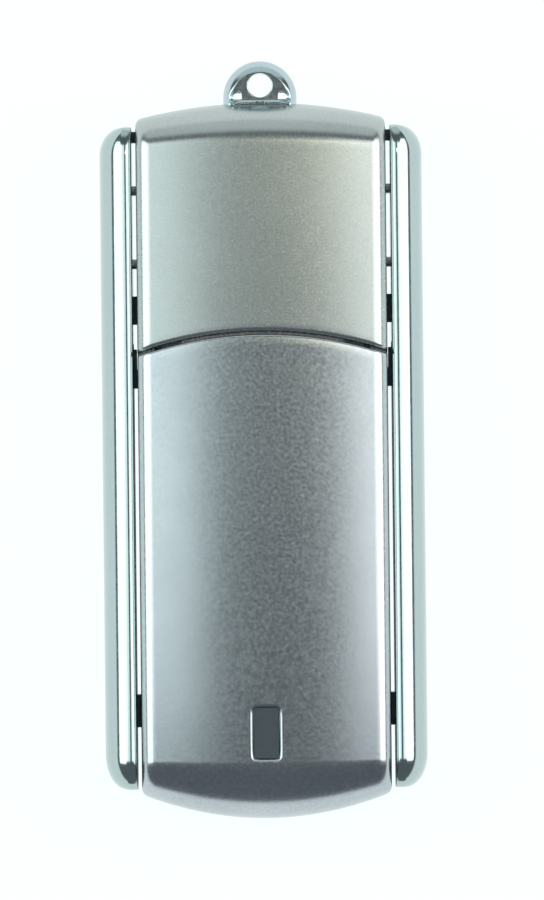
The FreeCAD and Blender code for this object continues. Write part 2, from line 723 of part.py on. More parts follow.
def rail_section(sketch, side):
    """Flat inner wall with broken edges, and a tall curved outer side made of three tangent arcs."""
    apex = f"({RAIL_IN} + rail_flat)"
    reach = "(rail_width - rail_flat)"
    lift = "(rail_half - rail_edge)"
    big = f"(({reach}^2 + {lift}^2 - rail_edge^2) / (2 * ({reach} - rail_edge)))"
    join_x = f"({apex} - ({big} - {reach}) + {big} * ({big} - {reach}) / ({big} - rail_edge))"
    join_z = f"({big} * {lift} / ({big} - rail_edge))"
    turn = "" if side > 0 else "-"
    corners = [(RAIL_IN, "-rail_half + rail_break", None),
               (f"{RAIL_IN} + rail_break", "-rail_half", None),
               (apex, "-rail_half", f"{turn}rail_edge"),
               (join_x, f"-{join_z}", f"{turn}{big}"),
               (join_x, join_z, f"{turn}rail_edge"),
               (apex, "rail_half", None),
               (f"{RAIL_IN} + rail_break", "rail_half", None),
               (RAIL_IN, "rail_half - rail_break", None)]
    profile(sketch, [(f"{side} * ({x})", f"{MID} + ({z})", arc) for x, z, arc in corners])


def rail_end_cuts(body, side, end, outward, reach_y, reach_x, plan_radius):
    """Round one end of a rail, in plan on its outer corner and in height above and below."""
    plan = new_sketch(body, "XY_Plane", f"plan_{outward > 0:d}")
    start = (f"{side} * {RAIL_OUT}", f"{end} - {outward} * {reach_y}", f"{side * outward} * {plan_radius}")
    profile(plan, [start,
                   (f"{side} * ({RAIL_OUT} - {reach_x})", end, None),
                   (f"{side} * ({RAIL_OUT} - {reach_x})", f"{end} + {outward} * tool_over", None),
                   (f"{side} * ({RAIL_OUT} + tool_over)", f"{end} + {outward} * tool_over", None),
                   (f"{side} * ({RAIL_OUT} + tool_over)", f"{end} - {outward} * {reach_y}", None)])
    cut_through(body, plan, f"plan_cut_{outward > 0:d}")
    height = new_sketch(body, "YZ_Plane", f"height_{outward > 0:d}")
    for up in (1, -1):
        profile(height, [
            (f"{end} - {outward} * rail_roll", f"{MID} + {up} * rail_half",
             f"{-up * outward} * rail_roll_radius"),
            (end, f"{MID} + {up} * (rail_half - rail_roll_drop)", None),
            (f"{end} + {outward} * tool_over", f"{MID} + {up} * (rail_half - rail_roll_drop)", None),
            (f"{end} + {outward} * tool_over", f"{MID} + {up} * (rail_half + tool_over)", None),
            (f"{end} - {outward} * rail_roll", f"{MID} + {up} * (rail_half + tool_over)", None)])
    cut_through(body, height, f"height_cut_{outward > 0:d}")


def rail(label, side):
    body = new_body(label + "_bar")
    section = new_sketch(body, "XZ_Plane", "section")
    rail_section(section, side)
    pad_along_y(body, section, RAIL_LOW, RAIL_TOP)
    rail_end_cuts(body, side, RAIL_TOP, 1, "rail_head_plan", "rail_plan_x", "rail_head_round")
    rail_end_cuts(body, side, RAIL_LOW, -1, "rail_foot_plan", "rail_plan_x", "rail_foot_round")
    pins, keys = joinery(label, side)
    groove = box(label + "_groove", mirrored(side, f"{RAIL_IN} - tool_over", f"{RAIL_IN} + channel_depth"),
                 (f"{RAIL_LOW} - tool_over", "channel_top"), about(MID, "channel_half"))
    keep(cut(label + "_cut", body, [groove] + pins + keys), label)


def channel(label, side):
    """A C-shaped plastic channel, open to the memory body and at its foot, closed at its top."""
    bar = box(label + "_bar", mirrored(side, RAIL_IN, f"{RAIL_IN} + channel_depth"),
              (f"{RAIL_LOW} + channel_foot", "channel_top"), about(MID, "channel_half"))
    lane = box(label + "_lane",
               mirrored(side, f"{RAIL_IN} - tool_over", f"{RAIL_IN} + channel_depth - channel_skin"),
               (f"{RAIL_LOW} - tool_over", "channel_top - channel_end"),
               about(MID, "channel_half - channel_lip"))
    keep(cut(label + "_cut", bar, [lane]), label)


# ---- Build, check and write ------------------------------------------------------------------------

def build():
    fill_sheet()
    cover("front_cover", 1)
    cover("back_cover", -1)
    led_window()
    inner_frame()
    guide_shoes()
    circuit_board()
    board_parts()
    usb_plug()
    cap_shell("cap_front_shell", 1)
    cap_shell("cap_back_shell", -1)
    cap_liner()
    plug_grip_springs()
    lanyard_lug()
    rail("right_rail", 1)
    rail("left_rail", -1)
    channel("right_channel", 1)
    channel("left_channel", -1)
    rail_fasteners()
    doc.recompute()


def check():
    for item in doc.Objects:
        if "Invalid" in item.State or "Error" in item.State:
            raise RuntimeError(f"{item.Name} failed: {item.State}")
    for item in parts:
        if item.Shape.isNull() or not item.Shape.isValid() or not item.Shape.Solids:
            raise RuntimeError(f"{item.Label} has no valid solid")


def write():
    os.makedirs("parts", exist_ok=True)
    for item in parts:
        item.Shape.exportStep(f"parts/{item.Label}.step")
        bounds = item.Shape.BoundBox
        print(f"{item.Label:20s} solids {len(item.Shape.Solids):2d}  volume {item.Shape.Volume:8.2f}"
              f"  x {bounds.XMin:6.2f} {bounds.XMax:6.2f}  y {bounds.YMin:6.2f} {bounds.YMax:6.2f}"
              f"  z {bounds.ZMin:5.2f} {bounds.ZMax:5.2f}")


build()
check()
write()
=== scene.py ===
import json
import math

import bmesh
import bpy
import numpy as np
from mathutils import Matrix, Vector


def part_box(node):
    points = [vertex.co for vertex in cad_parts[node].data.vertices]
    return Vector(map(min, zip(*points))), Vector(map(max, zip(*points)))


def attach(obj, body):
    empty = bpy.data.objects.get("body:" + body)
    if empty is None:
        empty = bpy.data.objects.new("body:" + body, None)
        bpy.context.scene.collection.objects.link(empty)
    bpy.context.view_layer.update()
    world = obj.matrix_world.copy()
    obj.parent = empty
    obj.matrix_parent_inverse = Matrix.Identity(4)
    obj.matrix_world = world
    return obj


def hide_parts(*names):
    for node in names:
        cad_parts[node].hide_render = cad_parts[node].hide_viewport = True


# A satin metal USB flash drive lying face up. Lengths in the tables are millimetres and are turned into
# metres where a mesh is made.
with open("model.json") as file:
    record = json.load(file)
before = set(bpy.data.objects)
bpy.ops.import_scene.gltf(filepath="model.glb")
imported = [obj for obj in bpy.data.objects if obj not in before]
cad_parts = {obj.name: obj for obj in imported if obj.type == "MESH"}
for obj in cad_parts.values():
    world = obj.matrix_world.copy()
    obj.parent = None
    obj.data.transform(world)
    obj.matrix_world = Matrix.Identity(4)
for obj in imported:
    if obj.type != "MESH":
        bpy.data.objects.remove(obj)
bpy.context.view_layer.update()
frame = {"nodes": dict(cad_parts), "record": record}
MM = 0.001


def cad_box(node):
    """Lowest and highest corner of a CAD node, in millimetres."""
    low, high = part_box(node)
    return np.array(low) / MM, np.array(high) / MM


COVER_LOW, COVER_HIGH = cad_box("front_cover")
LUG_HIGH = cad_box("lanyard_lug")[1]
PLUG_LOW, PLUG_HIGH = cad_box("usb_plug_shell")
RAIL_LOW, RAIL_HIGH = cad_box("right_rail")
CHANNEL_LOW, CHANNEL_HIGH = cad_box("right_channel")
HALF = COVER_HIGH[0]           # half width of cap and body
FACE = COVER_HIGH[2]           # height of the front face's crown
MID = COVER_LOW[2]             # parting plane
FOOT = COVER_LOW[1]            # crest of the memory body's foot
SEAM = COVER_HIGH[1]           # crest of the seam
SEAM_GAP = 0.2
LUG_REACH = 3.1                # lug tip beyond the cap's crest
CREST = LUG_HIGH[1] - LUG_REACH
SEAM_ARC, CAP_ARC, FOOT_ARC = 29.0, 42.0, 27.0

CROWN_ACROSS = (0.50, 2.2)     # fall of the face at its sides, and the power it falls with
CROWN_FOOT = (0.35, 4.0)       # fall of the face at the foot, and where along the body it begins
CROWN_CAP = (0.05, 10.0, 15.0)  # fall of the face towards the cap's crest, its start and its length
EDGE = 0.92                    # width of the roll-off along the long sides
EDGE_START = math.radians(10)  # tilt at which that roll-off leaves the face
EDGE_END = math.radians(86)    # and at which it ends in the side wall
BULGE = 0.03                   # how far the side walls swell out at the parting plane
WALL = 0.9
END_WALL = 2.0                 # depth of the wall that the plug comes through
PLUG_PLAY = 0.08
COVER_REACH, COVER_SOFT = 4.4, 0.22  # length of the rolled end, radius of the edge at the seam
CAP_REACH, CAP_SOFT = 3.05, 0.36
PARTING = 0.06                 # chamfer along the parting plane
PLAN_CORNER = 0.7
CAP_START_CURVE = 0.4          # how much of the end's curve the start of its roll-off follows
FOOT_START_CURVE = 0.05
BACK_SHIFT = 0.25              # the back's seam is stepped, so no light shows through the seam


# Fineness of the shells' grids. Steps are shares of the flat half width or of the shell's length.
EDGE_COLUMNS, ROLL_ROWS, SEAM_ROWS = 16, 30, 9
PLAIN_STEP = 0.02
ROW_GAP, START_GAP = 0.002, 0.003  # smallest step from a plain row to the rolled end's rows
WELD = 1e-7                    # points closer than this are one, in metres


# ---- Mesh helpers ----------------------------------------------------------------------------------

class Quads:
    """Collects structured patches of quads, then welds them into one mesh."""

    def __init__(self):
        self.points, self.faces, self.count = [], [], 0

    def patch(self, grid, flip=False):
        """Add a rows x columns x 3 grid of points."""
        rows, columns = grid.shape[:2]
        index = np.arange(rows * columns).reshape(rows, columns) + self.count
        a, b = index[:-1, :-1].ravel(), index[:-1, 1:].ravel()
        c, d = index[1:, 1:].ravel(), index[1:, :-1].ravel()
        quads = np.stack([a, d, c, b] if flip else [a, b, c, d], axis=1)
        self.points.append(grid.reshape(-1, 3))
        self.faces.append(quads)
        self.count += rows * columns

    def between(self, first, second, flip=False):
        """Quads between two curves with the same number of points."""
        self.patch(np.stack([first, second]), flip)

    def build(self, name, smooth_angle=40):
        points = np.concatenate(self.points) * MM
        faces = np.concatenate(self.faces)
        keys = np.round(points / WELD).astype(np.int64)
        unique, first, inverse = np.unique(keys, axis=0, return_index=True, return_inverse=True)
        points, faces = points[first], inverse.ravel()[faces]
        kept = []
        for face in faces.tolist():
            corners = [v for i, v in enumerate(face) if v != face[i - 1]]
            if len(set(corners)) >= 3 and len(corners) == len(set(corners)):
                kept.append(corners)
        mesh = bpy.data.meshes.new(name)
        mesh.from_pydata(points.tolist(), [], kept)
        mesh.update()
        shape = bmesh.new()
        shape.from_mesh(mesh)
        bmesh.ops.recalc_face_normals(shape, faces=shape.faces)
        shape.to_mesh(mesh)
        shape.free()
        mesh.shade_smooth()
        mesh.set_sharp_from_angle(angle=math.radians(smooth_angle))
        piece = bpy.data.objects.new(name, mesh)
        bpy.context.scene.collection.objects.link(piece)
        return piece


def finish_piece(piece, node, material, body):
    piece.data.materials.append(material)
    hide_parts(node)
    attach(piece, body)
    return piece


def smoothstep(t):
    t = np.clip(t, 0, 1)
    return t * t * (3 - 2 * t)


def arc_drop(x, radius):
    """How far an arc of this radius falls from its crest at x."""
    return radius - np.sqrt(radius ** 2 - x ** 2)


# ---- Shells ----------------------------------------------------------------------------------------

class Shell:
    """One half shell as a grid of columns across and rows from the seam to the rolled end.

    side is +1 for the front and -1 for the back, way is +1 where the rolled end faces +Y, and seam and
    end are the crests of the two arcs. The face is crowned on the front and flat on the back.
    """

    def __init__(self, side, seam, seam_arc, end, end_arc, reach, way, soft, inset=0.0):
        self.side, self.way, self.soft = side, way, soft
        self.seam, self.seam_arc = seam, seam_arc
        self.end, self.end_arc = end - way * inset, end_arc
        self.reach = reach - inset
        self.half = HALF - inset
        self.rise = FACE - MID - inset
        self.flat_half = HALF - BULGE - EDGE
        self.length = abs(self.end - self.seam)

    def face(self, x, y):
        """Height of the face above the parting plane."""
        if self.side < 0:
            return np.full(np.broadcast(x, y).shape, self.rise)
        fall, power = CROWN_ACROSS
        across = fall * np.abs(x / HALF) ** power
        fall, start = CROWN_FOOT
        along = fall * np.clip((start - y) / (start - FOOT), 0, 1) ** 3
        fall, start, length = CROWN_CAP
        up = fall * np.clip((y - start) / length, 0, 1) ** 2
        return self.rise - across - along - up

    def share(self, y):
        """Row value of a place on the centre line."""
        return abs(y - self.seam) / self.length

    def section(self, flat):
        """Columns as x, drop below the face, and share of the height that is left."""
        turn = np.linspace(EDGE_START, EDGE_END, EDGE_COLUMNS)
        grow = (np.sin(turn) - math.sin(EDGE_START)) / (1 - math.sin(EDGE_START))
        depth = EDGE * math.cos(EDGE_START) / (1 - math.sin(EDGE_START))
        fall = depth * (math.cos(EDGE_START) - np.cos(turn)) / math.cos(EDGE_START)
        keep = np.array([0.8, 0.6, 0.4, 0.2, 0.0])
        x = np.concatenate([flat * self.flat_half, self.flat_half + EDGE * grow[1:],
                            HALF - BULGE * (1 - np.sin((1 - keep) * math.pi / 2)), [HALF - PARTING]])
        drop = np.concatenate([0 * flat, fall[1:], np.full(len(keep) + 1, fall[-1])])
        left = np.concatenate([np.ones(len(flat) + len(turn) - 1), keep, [0]])
        x = x * self.half / HALF
        return np.concatenate([-x[:0:-1], x]), np.concatenate([drop[:0:-1], drop]), \
            np.concatenate([left[:0:-1], left])

    def grid(self, flat, rows, relief=None):
        """The sheet's points. flat runs from 0 to 1 over the flat half, rows from 0 to 1 over the length."""
        x, drop, left = self.section(flat)
        start_share = 1 - self.reach / self.length
        seam_y = self.seam - arc_drop(x, self.seam_arc)
        end_y = self.end - self.way * arc_drop(x, self.end_arc)
        follow = CAP_START_CURVE if self.way > 0 else FOOT_START_CURVE
        start_y = self.end - self.way * (self.reach + follow * arc_drop(x, self.end_arc))
        rows = np.append(rows, 1.0)[:, None]
        main = np.clip(rows / start_share, 0, 1)
        roll = np.clip((rows - start_share) / (1 - start_share), 0, 1)
        y = seam_y + (start_y - seam_y) * main + (end_y - start_y) * roll
        gap = np.abs(end_y - y)
        corner = np.clip(PLAN_CORNER - gap, 0, PLAN_CORNER)
        cut = PLAN_CORNER - np.sqrt(PLAN_CORNER ** 2 - corner ** 2)
        height = (self.face(x, y) - drop) * left
        if self.soft:
            near = np.clip(np.abs(y - seam_y) / self.soft, 0, 1)
            height = height - self.soft * (1 - np.sqrt(1 - (1 - near) ** 2)) * (left > 0)
        height = np.maximum(height * np.sqrt(1 - roll ** 2), PARTING)
        if relief is not None:
            height = height + relief(x, y)
        height[:, [0, -1]] = 0
        height[-1] = 0
        y[-1] -= self.way * PARTING
        return np.stack([x * (1 - cut / HALF), y, MID + self.side * height], axis=-1)


def outline(grid):
    """The edge along the parting plane: down one side, round the end and back up the other."""
    return np.concatenate([grid[:, 0], grid[-1, 1:-1], grid[::-1, -1]])


def spaced(low, high, step):
    """Values from low to high, as near to this step as fits."""
    return np.linspace(low, high, max(2, round((high - low) / step) + 1))


WINDOW_BEVEL = 0.27            # width of the bevel round the opening
WINDOW_BEVEL_DEPTH = 0.24
WINDOW_DEEP = 0.62
WINDOW_CORNER = 0.3
WINDOW_EDGE = 0.06             # width of the steep edge below the bevel
WINDOW_OUTSIDE, WINDOW_INSIDE = 0.1, 0.12  # the fine mesh reaches this far past the bevel and the opening
WINDOW_BELOW = 0.45            # and this far past the opening's lower end
FINE_COLUMN, FINE_ROW = 0.0028, 0.001
OPEN_ROW, ABOVE_ROW = 0.01, 0.018  # row steps within the opening and above it
WINDOW_OPEN_LOW = np.array([-0.92, -23.6])
WINDOW_OPEN_HIGH = np.array([0.92, -19.85])


def window_recess(x, y):
    """Depth of the bevelled recess round the indicator window, as a negative height."""
    centre = (WINDOW_OPEN_LOW + WINDOW_OPEN_HIGH) / 2
    half = (WINDOW_OPEN_HIGH - WINDOW_OPEN_LOW) / 2
    radius = WINDOW_CORNER
    qx = np.abs(x - centre[0]) - half[0] + radius
    qy = np.abs(y - centre[1]) - half[1] + radius
    gap = np.hypot(np.maximum(qx, 0), np.maximum(qy, 0)) + np.minimum(np.maximum(qx, qy), 0) - radius
    bevel = -WINDOW_BEVEL_DEPTH * (1 - np.sin(np.clip(gap / WINDOW_BEVEL, 0, 1) * math.pi / 2))
    return bevel - (WINDOW_DEEP - WINDOW_BEVEL_DEPTH) * smoothstep(-gap / WINDOW_EDGE)


def window_columns(shell):
    """Columns of half the face, closer together round the indicator window."""
    fine = (WINDOW_OPEN_HIGH[0] + WINDOW_BEVEL + WINDOW_OUTSIDE) / shell.flat_half
    edge = (WINDOW_OPEN_HIGH[0] - WINDOW_INSIDE) / shell.flat_half
    return np.concatenate([spaced(0, edge, PLAIN_STEP)[:-1], spaced(edge, fine, FINE_COLUMN)[:-1],
                           spaced(fine, 1, PLAIN_STEP)])


def roll_rows(shell, first):
    """Rows over the rolled end, closer together where it gets steep."""
    start = 1 - shell.reach / shell.length
    turn = np.linspace(0, math.pi / 2, ROLL_ROWS)
    rows = start + (1 - start) * np.sin(turn)
    return rows[rows > first + ROW_GAP]


def seam_rows(shell):
    """Rows over the rounded edge at the seam."""
    turn = np.linspace(0, math.pi / 2, SEAM_ROWS)
    return shell.soft / shell.length * (1 - np.cos(turn))


def window_rows(shell):
    """Rows of the front cover, closer together round the indicator window."""
    top, bottom = WINDOW_OPEN_HIGH[1], WINDOW_OPEN_LOW[1]
    edges = (top + WINDOW_BEVEL + WINDOW_OUTSIDE, top - WINDOW_INSIDE, bottom + WINDOW_INSIDE,
             bottom - WINDOW_BELOW)
    stops = [shell.share(y) for y in edges]
    first = seam_rows(shell)
    spans = [first[:-1], spaced(first[-1], stops[0], ABOVE_ROW)[:-1],
             spaced(stops[0], stops[1], FINE_ROW)[:-1], spaced(stops[1], stops[2], OPEN_ROW)[:-1],
             spaced(stops[2], stops[3], FINE_ROW)]
    return np.concatenate(spans + [roll_rows(shell, stops[3])])


def plain_rows(shell):
    """Rows of a shell without a window."""
    first = seam_rows(shell)
    start = 1 - shell.reach / shell.length
    return np.concatenate([first[:-1], spaced(first[-1], start, PLAIN_STEP)[:-1],
                           roll_rows(shell, start - START_GAP)])


def opening_curve(seam_curve, half_x, half_z, side):
    """Half of a rectangle in the end wall, with as many points as the seam curve."""
    length = 2 * half_z + 2 * half_x
    share = np.linspace(0, 1, len(seam_curve)) * length
    x = np.clip(share - half_z - half_x, -half_x, half_x)
    z = np.minimum(np.minimum(share, length - share), half_z)
    y = np.interp(x, seam_curve[:, 0], seam_curve[:, 1])
    return np.stack([x, y, MID + side * z], axis=1)


def make_cover(name, side):
    """A half of the memory body: outer sheet, inner sheet and an end wall that the plug comes through."""
    shift = BACK_SHIFT if side < 0 else 0
    shape = (SEAM_ARC, FOOT, FOOT_ARC, COVER_REACH, -1)
    outer = Shell(side, SEAM - shift, *shape, soft=COVER_SOFT)
    inner = Shell(side, SEAM - shift - END_WALL, *shape, soft=0, inset=WALL)
    flat = window_columns(outer)
    rows = window_rows(outer) if side > 0 else plain_rows(outer)
    out = outer.grid(flat, rows, window_recess if side > 0 else None)
    within = inner.grid(flat, rows)
    quads = Quads()
    quads.patch(out)
    quads.patch(within)
    plug_half = (PLUG_HIGH[2] - PLUG_LOW[2]) / 2
    mouth = opening_curve(out[0], PLUG_HIGH[0] + PLUG_PLAY, plug_half + PLUG_PLAY, side)
    deep = mouth - np.array([0, END_WALL, 0])
    for first, second in ((out[0], mouth), (mouth, deep), (deep, within[0]), (outline(out), outline(within))):
        quads.between(first, second)
    for end in (0, -1):
        quads.patch(np.array([[out[0, end], mouth[end]], [within[0, end], deep[end]]]))
    return quads.build(name)


def make_cap_shell(name, side):
    """A half of the cap: outer sheet, inner sheet and a rim at the seam."""
    shift = BACK_SHIFT if side < 0 else 0
    shape = (SEAM + SEAM_GAP - shift, SEAM_ARC + SEAM_GAP, CREST, CAP_ARC, CAP_REACH, 1)
    outer = Shell(side, *shape, soft=CAP_SOFT)
    inner = Shell(side, *shape, soft=0, inset=WALL)
    flat = spaced(0, 1, PLAIN_STEP)
    rows = plain_rows(outer)
    out, within = outer.grid(flat, rows), inner.grid(flat, rows)
    quads = Quads()
    quads.patch(out)
    quads.patch(within)
    quads.between(out[0], within[0])
    quads.between(outline(out), outline(within))
    return quads.build(name)


# ---- Rails -----------------------------------------------------------------------------------------

RAIL_ROUND = (0.48, 0.32)      # width and drop of the round at the inner edge
RAIL_FLAT = (0.30, 0.02)       # width and fall of the narrow flat on top
RAIL_START = math.radians(20)  # tilt at which the outer round leaves the flat
RAIL_INNER, RAIL_OUTER, RAIL_SECTIONS = 14, 40, 26  # points over the rounds, sections at each end
RAIL_HALF = (RAIL_HIGH[2] - RAIL_LOW[2]) / 2
GROOVE_TALL, GROOVE_DEEP = 0.66, 0.56  # largest share of the rail's height and width that is groove
GROOVE_STEP = 0.001            # half the distance between the sections at the end of the groove
RAIL_FINE = 2.7                # length at each end where the sections stand closer together
# For each end: plan corner across and along, length of the roll-off, half height that is left at the end
RAIL_ENDS = {1: (1.60, 2.10, 2.15, 1.95), -1: (1.60, 2.60, 2.20, 1.2)}


def rail_profile(depth):
    """The closed outline of a rail as (across, height) with its groove this deep."""
    width = RAIL_HIGH[0] - RAIL_LOW[0]
    half = RAIL_HALF
    groove = (CHANNEL_HIGH[2] - CHANNEL_LOW[2]) / 2
    inner = np.linspace(math.pi / 2, 0, RAIL_INNER)
    outer = np.linspace(RAIL_START, math.pi / 2, RAIL_OUTER)
    start = RAIL_ROUND[0] + RAIL_FLAT[0]
    grow = (np.sin(outer) - math.sin(RAIL_START)) / (1 - math.sin(RAIL_START))
    across = np.concatenate([RAIL_ROUND[0] * (1 - np.sin(inner)), start + (width - start) * grow])
    top = half - RAIL_FLAT[1]
    height = np.concatenate([half - RAIL_ROUND[1] * (1 - np.cos(inner)),
                             top * np.cos(outer) / math.cos(RAIL_START)])
    across = np.concatenate([[depth, depth, 0], across, across[-2::-1], [0, depth]])
    height = np.concatenate([[0, groove, groove], height, -height[-2::-1], [-groove, -groove]])
    return across, height


def make_rail(name, hand):
    """A tall polished bar with a rounded outer side, rounded ends and a groove for its channel."""
    low, high = RAIL_LOW[1], RAIL_HIGH[1]
    round_width = RAIL_ROUND[0]
    groove_top = CHANNEL_HIGH[1]
    width = RAIL_HIGH[0] - RAIL_LOW[0]
    half = RAIL_HALF
    groove = (CHANNEL_HIGH[2] - CHANNEL_LOW[2]) / 2
    near = 1 - np.cos(np.linspace(0, math.pi / 2, RAIL_SECTIONS))
    # sections along the straight part, with the end of the groove between two of them
    middle = [-15, -5, groove_top - GROOVE_STEP, groove_top + GROOVE_STEP, 15]
    loops = []
    for y in np.concatenate([low + near * RAIL_FINE, middle, (high - near * RAIL_FINE)[::-1]]):
        depth = CHANNEL_HIGH[0] - CHANNEL_LOW[0] if y < groove_top else 0.0
        across, height = rail_profile(depth)
        cut, top = 0.0, half
        for way, (plan_across, plan_along, roll, end_half) in RAIL_ENDS.items():
            gap = abs((high if way > 0 else low) - y)
            lean = max(1 - gap / plan_along, 0)
            cut = max(cut, plan_across * (1 - math.sqrt(1 - lean ** 2)))
            lean = max(1 - gap / roll, 0)
            top = min(top, end_half + (half - end_half) * math.sqrt(1 - lean ** 2))
        height = height * top / half
        mouth = min(groove, GROOVE_TALL * top)
        height[1:3], height[-2:] = mouth, -mouth
        room = width - round_width
        squeezed = round_width + (across - round_width) * (room - cut) / room
        across = np.where(across > round_width, squeezed, across)
        across[[0, 1, -1]] = min(depth, GROOVE_DEEP * (width - cut))
        loops.append(np.stack([hand * (RAIL_LOW[0] + across), np.full_like(across, y), MID + height], axis=1))
    loops = np.stack(loops)
    loops = np.concatenate([loops, loops[:, :1]], axis=1)
    quads = Quads()
    quads.patch(loops)
    for loop in (loops[0], loops[-1]):
        pairs = len(loop) // 2
        quads.patch(np.stack([loop[:pairs + 1], loop[::-1][:pairs + 1]]))
    return quads.build(name)


CHANNEL_SKIN, CHANNEL_LIP = 0.3, 0.5
CHANNEL_FOOT = 0.8             # the channel stops this far short of the rail's rounded foot


def make_channel(name, hand):
    """The plastic channel that lines a rail's groove: a U section, open towards the body."""
    inside, outside = CHANNEL_LOW[0], CHANNEL_HIGH[0]
    half = (CHANNEL_HIGH[2] - CHANNEL_LOW[2]) / 2
    slot, floor = half - CHANNEL_LIP, outside - CHANNEL_SKIN
    section = np.array([(inside, half), (outside, half), (outside, -half), (inside, -half),
                        (inside, -slot), (floor, -slot), (floor, slot), (inside, slot)])
    ends = []
    for y in (RAIL_LOW[1] + CHANNEL_FOOT, CHANNEL_HIGH[1]):
        ends.append(np.stack([hand * section[:, 0], np.full(len(section), y), MID + section[:, 1]], axis=1))
    quads = Quads()
    quads.between(*[np.concatenate([end, end[:1]]) for end in ends])
    for end in ends:
        for corners in ((0, 1, 6, 7), (1, 2, 5, 6), (2, 3, 4, 5)):
            a, b, c, d = end[list(corners)]
            quads.patch(np.array([[a, b], [d, c]]))
    return quads.build(name)


# ---- Materials -------------------------------------------------------------------------------------

def node_tree(name):
    material = bpy.data.materials.new(name)
    material.use_nodes = True
    tree = material.node_tree
    return material, tree, tree.nodes["Principled BSDF"]


def noise(tree, coordinates, scale, detail=3.0, roughness=0.6):
    node = tree.nodes.new("ShaderNodeTexNoise")
    node.inputs["Scale"].default_value = scale
    node.inputs["Detail"].default_value = detail
    node.inputs["Roughness"].default_value = roughness
    tree.links.new(coordinates, node.inputs["Vector"])
    return node.outputs["Fac"]


def remap(tree, value, low, high, to_low, to_high):
    node = tree.nodes.new("ShaderNodeMapRange")
    for socket, number in (("From Min", low), ("From Max", high), ("To Min", to_low), ("To Max", to_high)):
        node.inputs[socket].default_value = number
    tree.links.new(value, node.inputs["Value"])
    return node.outputs["Result"]


def tint(tree, factor, first, second):
    node = tree.nodes.new("ShaderNodeMix")
    node.data_type = "RGBA"
    node.inputs["A"].default_value = (*first, 1)
    node.inputs["B"].default_value = (*second, 1)
    tree.links.new(factor, node.inputs["Factor"])
    return node.outputs["Result"]


def bump(tree, shader, height, strength, distance):
    node = tree.nodes.new("ShaderNodeBump")
    node.inputs["Strength"].default_value = strength
    node.inputs["Distance"].default_value = distance
    tree.links.new(height, node.inputs["Height"])
    tree.links.new(node.outputs["Normal"], shader.inputs["Normal"])


MOTTLE = 250                   # scale of the large faint mottle
GRAIN_SHARE = 0.7              # share of the fine grain in the colour, beside the mottle
GRAIN_HEIGHT = 0.00002


def surface(name, dark, light, metallic, roughness, grain, grain_bump):
    """A material with fine grain in colour, roughness and bump, and a faint larger mottle."""
    material, tree, shader = node_tree(name)
    place = tree.nodes.new("ShaderNodeTexCoord").outputs["Object"]
    fine = noise(tree, place, grain)
    broad = noise(tree, place, MOTTLE, 2.0, 0.5)
    blend = tree.nodes.new("ShaderNodeMath")
    blend.operation = "MULTIPLY_ADD"
    tree.links.new(fine, blend.inputs[0])
    blend.inputs[1].default_value = GRAIN_SHARE
    tree.links.new(remap(tree, broad, 0.3, 0.7, 0.1, 0.2), blend.inputs[2])
    factor = remap(tree, blend.outputs[0], 0.25, 0.75, 0, 1)
    tree.links.new(tint(tree, factor, dark, light), shader.inputs["Base Color"])
    tree.links.new(remap(tree, fine, 0.3, 0.7, roughness[0], roughness[1]), shader.inputs["Roughness"])
    shader.inputs["Metallic"].default_value = metallic
    bump(tree, shader, fine, grain_bump, GRAIN_HEIGHT)
    return material


